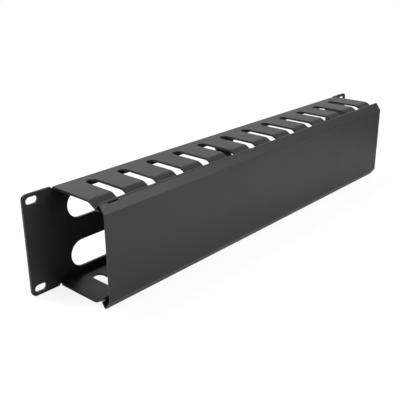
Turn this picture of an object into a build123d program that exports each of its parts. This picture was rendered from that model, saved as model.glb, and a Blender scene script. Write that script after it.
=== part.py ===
from build123d import *
import math
import os

# Horizontal cable manager for a 19-inch rack, two units high, in millimetres.
# The origin is the centre of the four rack holes, on the rear face of the ears.
# +X runs along the rack's width, +Y points into the rack and +Z points up.

# Rack interface
hole_spacing_x = 465.1
hole_spacing_z = 76.2
hole_side_margin = 8.75
hole_end_margin = 5.95
hole_length = 11.0
hole_width = 6.2
ear_width = 28.65
ear_corner_radius = 4.6

# Base channel: back panel and two flanges, folded from one sheet
sheet = 2.0
channel_depth = 46.6
flange_bend_radius = 0.6
relief_width = 3.4
relief_depth = 1.5

# Finger tips, folded inwards at the front of each flange
tip_fold = 29.5
tip_length = 12.4
tip_bend_radius = 5.0
tip_corner_radius = 2.0

# Slots between the fingers, open at the front and round at the back
slot_count = 12
slot_width = 10.5
slot_land = 11.4
end_finger = 23.3

# Long obround openings in the back panel, two rows of two
opening_end_margin = 12.7
opening_edge_margin = 9.4
opening_centre_web = 22.0
opening_row_web = 20.6

# Front cover, folded from one thinner sheet
cover_sheet = 1.2
cover_overhang = 0.85
cover_rise = 0.35
plate_height = 73.6
plate_gap = 6.8
plate_bend_radius = 1.0
strip_lean = 34.5
crest_bend_radius = 0.8
lip_lean = 30.0
lip_clearance = 0.3

# Slits through the cover's upper strip, one near each end
slit_length = 10.6
slit_width = 1.2
slit_end_margin = 7.2
slit_drop = 1.2

panel_width = hole_spacing_x + 2 * hole_side_margin
panel_height = hole_spacing_z + 2 * hole_end_margin
channel_width = panel_width - 2 * ear_width
half_height = panel_height / 2
cover_width = channel_width + 2 * cover_overhang


def unit(degrees):
    """A unit vector of the section, its angle counted from +Y towards +Z."""
    return Vector(math.cos(math.radians(degrees)), math.sin(math.radians(degrees)))


def crossing(point_a, along_a, point_b, along_b):
    """The point where two lines of the section meet."""
    span = point_b - point_a
    turn = along_a.X * along_b.Y - along_a.Y * along_b.X
    return point_a + along_a * ((span.X * along_b.Y - span.Y * along_b.X) / turn)


# Section of the base channel, upper half, outer side of the sheet: (Y, Z) points
fold_corner = Vector(-channel_depth, half_height)
panel_corner = Vector(0, half_height)
tip_direction = unit(180 + tip_fold)
tip_end = fold_corner + tip_direction * tip_length
channel_line = [tip_end, fold_corner, panel_corner]

# Section of the cover, upper half, outer side: plate, strip leaning back and crest
crest_radius = crest_bend_radius + cover_sheet
crest_top = half_height + cover_rise
plate_corner = Vector(tip_end.X - plate_gap - cover_sheet, plate_height / 2)
strip_direction = unit(90 - strip_lean)
strip_normal = unit(180 - strip_lean)

# The crest's arc touches the strip's outer line and the cover's full height
crest_centre = crossing(
    plate_corner - strip_normal * crest_radius,
    strip_direction,
    Vector(0, crest_top - crest_radius),
    Vector(1, 0),
)

# The lip runs back down from the crest and ends just clear of the sloping finger tips
lip_direction = unit(lip_lean - 90)
lip_normal = unit(lip_lean)
tip_normal = unit(90 + tip_fold)
crest_corner = crossing(
    plate_corner,
    strip_direction,
    crest_centre + lip_normal * crest_radius,
    lip_direction,
)
lip_seat = crossing(
    crest_corner - lip_normal * cover_sheet,
    lip_direction,
    fold_corner + tip_normal * lip_clearance,
    tip_direction,
)
lip_end = lip_seat + lip_normal * cover_sheet
cover_line = [lip_end, crest_corner, plate_corner]


def mirrored(points):
    """A section line from bottom to top, made from its upper half."""
    return [Vector(p.X, -p.Y) for p in points] + points[::-1]


def folded_sheet(outer_line, radii, thickness, width):
    """A sheet folded to a section: its outer line, thickened to its left and swept along X."""
    outer = FilletPolyline(*outer_line, radius=radii)
    inner = offset(outer, amount=-thickness, side=Side.LEFT, closed=False)
    ends = [Line(outer @ 0, inner @ 0), Line(outer @ 1, inner @ 1)]
    section = Plane.YZ * make_face(Curve() + [outer, inner] + ends)
    return extrude(section, width / 2, both=True)


def right_ear():
    """The right rack ear: the back panel runs on past the end of the flanges."""
    face = Pos((channel_width + ear_width) / 2, 0) * Rectangle(ear_width, panel_height)
    face = fillet(face.vertices().sort_by(Axis.X)[-2:], ear_corner_radius)
    for end in (-1, 1):
        face -= Pos(hole_spacing_x / 2, end * hole_spacing_z / 2) * SlotOverall(hole_length, hole_width)
    return extrude(Plane.XZ * face, sheet)


def bend_reliefs():
    """Round-ended notches where each flange's bend ends and the ear's edge begins."""
    notch_end = half_height - relief_depth + relief_width / 2
    outer_half = Pos(0, relief_depth / 2) * Rectangle(relief_width, relief_depth)
    notch = Pos(channel_width / 2, notch_end) * (Circle(relief_width / 2) + outer_half)
    right = extrude(Plane.XZ * notch, flange_bend_radius + sheet)
    upper = [right, mirror(right, about=Plane.YZ)]
    return upper + [mirror(tool, about=Plane.XY) for tool in upper]


def slot_places():
    """Centres of the slots along X, evenly spaced between the two end fingers."""
    pitch = (channel_width - 2 * end_finger - slot_width) / (slot_count - 1)
    return [(k - (slot_count - 1) / 2) * pitch for k in range(slot_count)]


def slot_cutter():
    """One open slot, cut down through both flanges and their tips."""
    round_centre = -slot_land - slot_width / 2
    straight = round_centre - tip_end.X + sheet
    round_end = Pos(0, round_centre) * Circle(slot_width / 2)
    open_end = Pos(0, round_centre - straight / 2) * Rectangle(slot_width, straight)
    return extrude(round_end + open_end, half_height + sheet, both=True)


def panel_openings():
    """The four long openings that cables pass through to the back."""
    length = (channel_width - opening_centre_web) / 2 - opening_end_margin
    height = (panel_height - opening_row_web) / 2 - opening_edge_margin
    across = (opening_centre_web + length) / 2
    up = (opening_row_web + height) / 2
    outlines = Sketch() + [
        Plane.XZ * Pos(side * across, level * up) * SlotOverall(length, height)
        for side in (-1, 1)
        for level in (-1, 1)
    ]
    return extrude(outlines, 2 * sheet, both=True)


def is_tip_corner(edge):
    """True for the short edges through the sheet at the end of a finger."""
    at_end = abs(edge.center().Y - tip_end.X) < sheet
    return at_end and math.isclose(edge.length, sheet, rel_tol=0.01)


def base_channel():
    outer_bend = flange_bend_radius + sheet
    outer_tip_bend = tip_bend_radius + sheet
    radii = [outer_tip_bend, outer_bend, outer_bend, outer_tip_bend]
    body = folded_sheet(mirrored(channel_line), radii, sheet, channel_width)
    ear = right_ear()
    body += [ear, mirror(ear, about=Plane.YZ)]
    body -= bend_reliefs()
    body -= panel_openings()
    body -= [Pos(x, 0, 0) * slot_cutter() for x in slot_places()]
    return fillet(body.edges().filter_by(is_tip_corner), tip_corner_radius)


def slit_cutter(side):
    """A short slit across one end of the upper strip, just under its crest."""
    height = crest_top - slit_drop
    on_strip = crossing(plate_corner, strip_direction, Vector(0, height), Vector(1, 0))
    middle = on_strip - strip_normal * cover_sheet / 2
    place = side * (cover_width / 2 - slit_end_margin - slit_length / 2)
    tool = Box(slit_length, slit_width, 2 * cover_sheet)
    return Pos(place, middle.X, middle.Y) * Rot(90 - strip_lean, 0, 0) * tool


def front_cover():
    plate_bend = plate_bend_radius + cover_sheet
    radii = [crest_radius, plate_bend, plate_bend, crest_radius]
    downwards = mirrored(cover_line)[::-1]
    body = folded_sheet(downwards, radii, cover_sheet, cover_width)
    return body - [slit_cutter(side) for side in (-1, 1)]


os.makedirs("parts", exist_ok=True)
export_step(base_channel(), "parts/base_channel.step")
export_step(front_cover(), "parts/front_cover.step")
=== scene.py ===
import bpy
import math
from mathutils import Matrix, Vector


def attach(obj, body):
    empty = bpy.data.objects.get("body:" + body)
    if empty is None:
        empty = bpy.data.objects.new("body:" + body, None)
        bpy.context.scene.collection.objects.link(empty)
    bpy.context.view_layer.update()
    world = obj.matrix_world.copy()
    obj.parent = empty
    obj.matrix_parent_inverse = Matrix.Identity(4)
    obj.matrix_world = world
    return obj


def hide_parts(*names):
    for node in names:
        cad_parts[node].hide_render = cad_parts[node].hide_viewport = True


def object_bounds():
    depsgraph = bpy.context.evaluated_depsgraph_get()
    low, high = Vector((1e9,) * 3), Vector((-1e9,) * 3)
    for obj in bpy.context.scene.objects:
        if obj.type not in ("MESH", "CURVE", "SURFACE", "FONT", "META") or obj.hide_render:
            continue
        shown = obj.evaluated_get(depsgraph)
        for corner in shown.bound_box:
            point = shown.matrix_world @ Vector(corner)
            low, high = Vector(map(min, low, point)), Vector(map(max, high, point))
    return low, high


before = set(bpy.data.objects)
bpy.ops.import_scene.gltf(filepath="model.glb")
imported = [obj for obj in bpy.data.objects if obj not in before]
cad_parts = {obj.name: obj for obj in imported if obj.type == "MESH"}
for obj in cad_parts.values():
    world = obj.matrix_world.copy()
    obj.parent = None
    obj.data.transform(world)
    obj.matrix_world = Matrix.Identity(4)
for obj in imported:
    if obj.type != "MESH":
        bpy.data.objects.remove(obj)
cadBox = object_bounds()
print("frame loaded:", sorted(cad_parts))

mm = 0.001
plainWhite = (1.0, 1.0, 1.0, 1.0)


def linearColour(hexValue):
    # an sRGB hex value as the linear colour that the shader wants
    channels = [int(hexValue[k:k + 2], 16) / 255 for k in (1, 3, 5)]
    linear = [c / 12.92 if c <= 0.04045 else ((c + 0.055) / 1.055) ** 2.4 for c in channels]
    return (*linear, 1.0)


def newMaterial(name):
    material = bpy.data.materials.new(name)
    material.use_nodes = True
    material.node_tree.nodes.clear()
    return material


def addNode(tree, kind, links=None, **settings):
    # one node: settings named like an input go into its socket, the others onto the node
    node = tree.nodes.new(kind)
    for name, value in settings.items():
        socket = name.replace("_", " ")
        if socket in node.inputs:
            node.inputs[socket].default_value = value
        else:
            setattr(node, name, value)
    for socket, source in (links or {}).items():
        tree.links.new(source, node.inputs[socket])
    return node


def whiteShare(tree, settings):
    # how much of the plain white each kind of ray meets: the largest share that fits the ray,
    # and none for the rays that light the object
    amounts = {
        "Is Camera Ray": settings["whiteToCamera"],
        "Is Glossy Ray": settings["whiteToGloss"],
        "Is Transmission Ray": settings["whiteToCamera"],
    }
    rays = addNode(tree, "ShaderNodeLightPath")
    share = None
    for ray, amount in amounts.items():
        own = addNode(tree, "ShaderNodeMath", operation="MULTIPLY")
        own.inputs[1].default_value = amount
        tree.links.new(rays.outputs[ray], own.inputs[0])
        if share is None:
            share = own.outputs[0]
            continue
        larger = addNode(tree, "ShaderNodeMath", operation="MAXIMUM")
        tree.links.new(share, larger.inputs[0])
        tree.links.new(own.outputs[0], larger.inputs[1])
        share = larger.outputs[0]
    return share


# Black polyester powder coat, baked on steel sheet. To the eye it is one even, nearly black skin,
# half matt: it shows the white around it as soft greys without a clear mirror image, and the
# paint drifts slowly in gloss.
powderCoat = {
    "name": "powder-coated steel",
    "colour": "#0c0d0e",
    "colourInThinFilm": "#121314",
    "roughness": 0.5,
    "ior": 1.5,
    "peelSize": 1.1 * mm,      # the soft waves of the baked film, like orange peel
    "peelDepth": 0.018 * mm,
    "peelDetail": 1.0,
    "peelRoughness": 0.4,
    "grainSize": 0.28 * mm,    # grains of paint; real ones are 0.05 mm, drawn coarser to show
    "grainDepth": 0.004 * mm,
    "grainDetail": 2.0,
    "grainRoughness": 0.6,
    "cloudSize": 45 * mm,      # slow drift of gloss where the film is thicker or thinner
    "cloudDetail": 3.0,
    "cloudRoughness": 0.5,
    "cloudRange": (0.3, 0.7),  # the noise between these values is spread over the whole drift
    "glossDrift": 0.03,        # the coat's roughness goes this far up and down
}


def powderCoatedSteel(settings):
    material = newMaterial(settings["name"])
    tree = material.node_tree
    place = addNode(tree, "ShaderNodeTexCoord").outputs["Object"]
    peel = addNode(tree, "ShaderNodeTexNoise", {"Vector": place}, Scale=1 / settings["peelSize"],
                   Detail=settings["peelDetail"], Roughness=settings["peelRoughness"])
    grain = addNode(tree, "ShaderNodeTexNoise", {"Vector": place}, Scale=1 / settings["grainSize"],
                    Detail=settings["grainDetail"], Roughness=settings["grainRoughness"])
    cloud = addNode(tree, "ShaderNodeTexNoise", {"Vector": place}, Scale=1 / settings["cloudSize"],
                    Detail=settings["cloudDetail"], Roughness=settings["cloudRoughness"])
    # a Mix node has several sockets of one name: inputs 6 and 7 are its colours A and B, and
    # output 2 is the mixed colour
    colour = addNode(tree, "ShaderNodeMix", {"Factor": cloud.outputs["Fac"]}, data_type="RGBA")
    colour.inputs[6].default_value = linearColour(settings["colour"])
    colour.inputs[7].default_value = linearColour(settings["colourInThinFilm"])
    cloudLow, cloudHigh = settings["cloudRange"]
    gloss = addNode(tree, "ShaderNodeMapRange", {"Value": cloud.outputs["Fac"]},
                    From_Min=cloudLow, From_Max=cloudHigh,
                    To_Min=settings["roughness"] - settings["glossDrift"],
                    To_Max=settings["roughness"] + settings["glossDrift"])
    waves = addNode(tree, "ShaderNodeBump", {"Height": peel.outputs["Fac"]},
                    Strength=1.0, Distance=settings["peelDepth"])
    film = addNode(tree, "ShaderNodeBump",
                   {"Height": grain.outputs["Fac"], "Normal": waves.outputs["Normal"]},
                   Strength=1.0, Distance=settings["grainDepth"])
    shader = addNode(tree, "ShaderNodeBsdfPrincipled",
                     {"Base Color": colour.outputs[2], "Roughness": gloss.outputs["Result"],
                      "Normal": film.outputs["Normal"]},
                     Metallic=0.0, IOR=settings["ior"])
    addNode(tree, "ShaderNodeOutputMaterial", {"Surface": shader.outputs["BSDF"]})
    return material


coated = powderCoatedSteel(powderCoat)


# What both punched and folded sheets share; angles in degrees
sheetFinish = {
    "mergeDistance": 0.001 * mm,
    "flatAngle": 0.3,       # triangles of one flat face are joined below this
    "edgeAngle": 50.0,      # sharper edges than this are cut edges, and are rounded
    "smoothAngle": 40.0,    # folds and rounded edges look smooth up to this
}

# The coat makes a sheet's cut edges a little round, so that each catches a thin line of light
combChannel = {
    "node": "base_channel",
    "name": "comb_channel",
    "body": "channel",
    "edgeRadius": 0.25 * mm,
    "edgeSteps": 2,
}
clipCover = {
    "node": "front_cover",
    "name": "clip_cover",
    "body": "cover",
    "edgeRadius": 0.25 * mm,
    "edgeSteps": 2,
}


def coatedSheet(sheet, finish):
    bpy.ops.object.select_all(action="DESELECT")
    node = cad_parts[sheet["node"]]
    piece = bpy.data.objects.new(sheet["name"], node.data.copy())
    bpy.context.scene.collection.objects.link(piece)
    piece.select_set(True)
    bpy.context.view_layer.objects.active = piece
    bpy.ops.object.mode_set(mode="EDIT")
    bpy.ops.mesh.select_all(action="SELECT")
    bpy.ops.mesh.customdata_custom_splitnormals_clear()
    bpy.ops.mesh.remove_doubles(threshold=finish["mergeDistance"])
    bpy.ops.mesh.dissolve_limited(angle_limit=math.radians(finish["flatAngle"]))
    bpy.ops.object.mode_set(mode="OBJECT")
    bevel = piece.modifiers.new("cut edges", "BEVEL")
    bevel.limit_method = "ANGLE"
    bevel.angle_limit = math.radians(finish["edgeAngle"])
    bevel.width = sheet["edgeRadius"]
    bevel.segments = sheet["edgeSteps"]
    bevel.miter_outer = "MITER_ARC"
    bpy.ops.object.modifier_apply(modifier=bevel.name)
    bpy.ops.object.shade_smooth_by_angle(angle=math.radians(finish["smoothAngle"]))
    # large faces lead the shading, so the round edges cast no false shade across them
    flats = piece.modifiers.new("flat faces", "WEIGHTED_NORMAL")
    flats.keep_sharp = True
    bpy.ops.object.modifier_apply(modifier=flats.name)
    piece.data.materials.clear()
    piece.data.materials.append(coated)
    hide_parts(sheet["node"])
    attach(piece, sheet["body"])
    print(sheet["name"], "has", len(piece.data.polygons), "faces")


coatedSheet(combChannel, sheetFinish)
coatedSheet(clipCover, sheetFinish)


# White floor that the object stands on: matt paper, with the white world behind it. It reaches
# further to the left, so that the cover's right end mirrors less of it. Lengths in metres.
studioFloor = {
    "name": "white paper",
    "size": 1.0,
    "centre": (-0.19, 0.0),
    "colour": "#f6f6f6",
    "glow": 1.05,            # lifts what the camera sees of the paper to white in this soft light
    "whiteToCamera": 0.8,    # the rest is the lit paper and keeps the object's shadow
    "whiteToGloss": 0.1,
}


def whitePaper(settings):
    material = newMaterial(settings["name"])
    tree = material.node_tree
    paper = addNode(tree, "ShaderNodeBsdfDiffuse", Color=linearColour(settings["colour"]))
    glow = addNode(tree, "ShaderNodeEmission", Color=plainWhite, Strength=settings["glow"])
    mixed = addNode(tree, "ShaderNodeMixShader", {"Fac": whiteShare(tree, settings)})
    tree.links.new(paper.outputs[0], mixed.inputs[1])
    tree.links.new(glow.outputs[0], mixed.inputs[2])
    addNode(tree, "ShaderNodeOutputMaterial", {"Surface": mixed.outputs[0]})
    return material


def addFloor(settings):
    bpy.ops.object.select_all(action="DESELECT")
    lowest = cadBox[0][2]
    bpy.ops.mesh.primitive_plane_add(size=settings["size"],
                                     location=(*settings["centre"], lowest))
    floor = bpy.context.object
    floor.name = "studio_floor"
    floor.data.materials.append(whitePaper(settings))


addFloor(studioFloor)
print("floor laid")


# Large soft lamps, turned towards the object. Azimuth 0 is its front (-Y) and 90 its right side
# (+X), and height is the angle above the floor, both in degrees; distance and size are in metres,
# power in watts.
studioLamps = [
    {"name": "front", "azimuth": 17, "height": 35,
     "distance": 1.5, "size": (0.95, 0.8), "power": 17},
    {"name": "back right", "azimuth": 136, "height": 25,
     "distance": 2.8, "size": (3.8, 1.7), "power": 16},
    {"name": "left", "azimuth": 300, "height": 44,
     "distance": 0.8, "size": (0.5, 0.5), "power": 0.6},
    {"name": "top back", "azimuth": 215, "height": 57,
     "distance": 1.1, "size": (0.5, 0.3), "power": 11},
]


def addLamp(settings):
    turn, rise = math.radians(settings["azimuth"]), math.radians(settings["height"])
    towards = Vector((math.sin(turn) * math.cos(rise),
                      -math.cos(turn) * math.cos(rise),
                      math.sin(rise)))
    data = bpy.data.lights.new(settings["name"], "AREA")
    data.shape = "RECTANGLE"
    data.size, data.size_y = settings["size"]
    data.energy = settings["power"]
    lamp = bpy.data.objects.new(settings["name"], data)
    bpy.context.scene.collection.objects.link(lamp)
    lamp.location = towards * settings["distance"]
    lamp.rotation_euler = towards.to_track_quat("Z", "Y").to_euler()


for lampSettings in studioLamps:
    addLamp(lampSettings)
print("lamps hung:", len(studioLamps))


# A plain white room: its strength lights the object, and its white share is the backdrop
worldLight = {
    "colour": "#ffffff",
    "strength": 0.32,
    "whiteToCamera": 1.0,
    "whiteToGloss": 0.12,
}


def lightWorld(settings):
    world = bpy.data.worlds.new("white studio")
    bpy.context.scene.world = world
    world.use_nodes = True
    tree = world.node_tree
    tree.nodes.clear()
    sky = addNode(tree, "ShaderNodeBackground", Color=linearColour(settings["colour"]),
                  Strength=settings["strength"])
    backdrop = addNode(tree, "ShaderNodeBackground", Color=plainWhite, Strength=1.0)
    mixed = addNode(tree, "ShaderNodeMixShader", {"Fac": whiteShare(tree, settings)})
    tree.links.new(sky.outputs[0], mixed.inputs[1])
    tree.links.new(backdrop.outputs[0], mixed.inputs[2])
    addNode(tree, "ShaderNodeOutputWorld", {"Surface": mixed.outputs[0]})


lightWorld(worldLight)
bpy.context.scene.view_settings.view_transform = "Standard"
print("world lit")


# The photograph's camera, from a fit to edges and corners of the object; angles in degrees
photoCamera = {
    "place": (-0.49283, -0.40991, 0.22057),    # metres
    "azimuth": 48.12,     # from +Y towards +X
    "down": 21.452,
    "roll": -0.408,
    "lens": 58.353,       # millimetres, like the sensor's width
    "sensor": 36.0,
}


def addCamera(settings):
    turn, down = math.radians(settings["azimuth"]), math.radians(settings["down"])
    ahead = Vector((math.sin(turn) * math.cos(down),
                    math.cos(turn) * math.cos(down),
                    -math.sin(down)))
    data = bpy.data.cameras.new("photo camera")
    data.lens = settings["lens"]
    data.sensor_width = settings["sensor"]
    camera = bpy.data.objects.new("photo camera", data)
    bpy.context.scene.collection.objects.link(camera)
    aim = ahead.to_track_quat("-Z", "Y").to_matrix().to_4x4()
    roll = Matrix.Rotation(math.radians(settings["roll"]), 4, "Z")
    camera.matrix_world = Matrix.Translation(settings["place"]) @ aim @ roll
    bpy.context.scene.camera = camera


addCamera(photoCamera)
print("camera at the photograph's view")
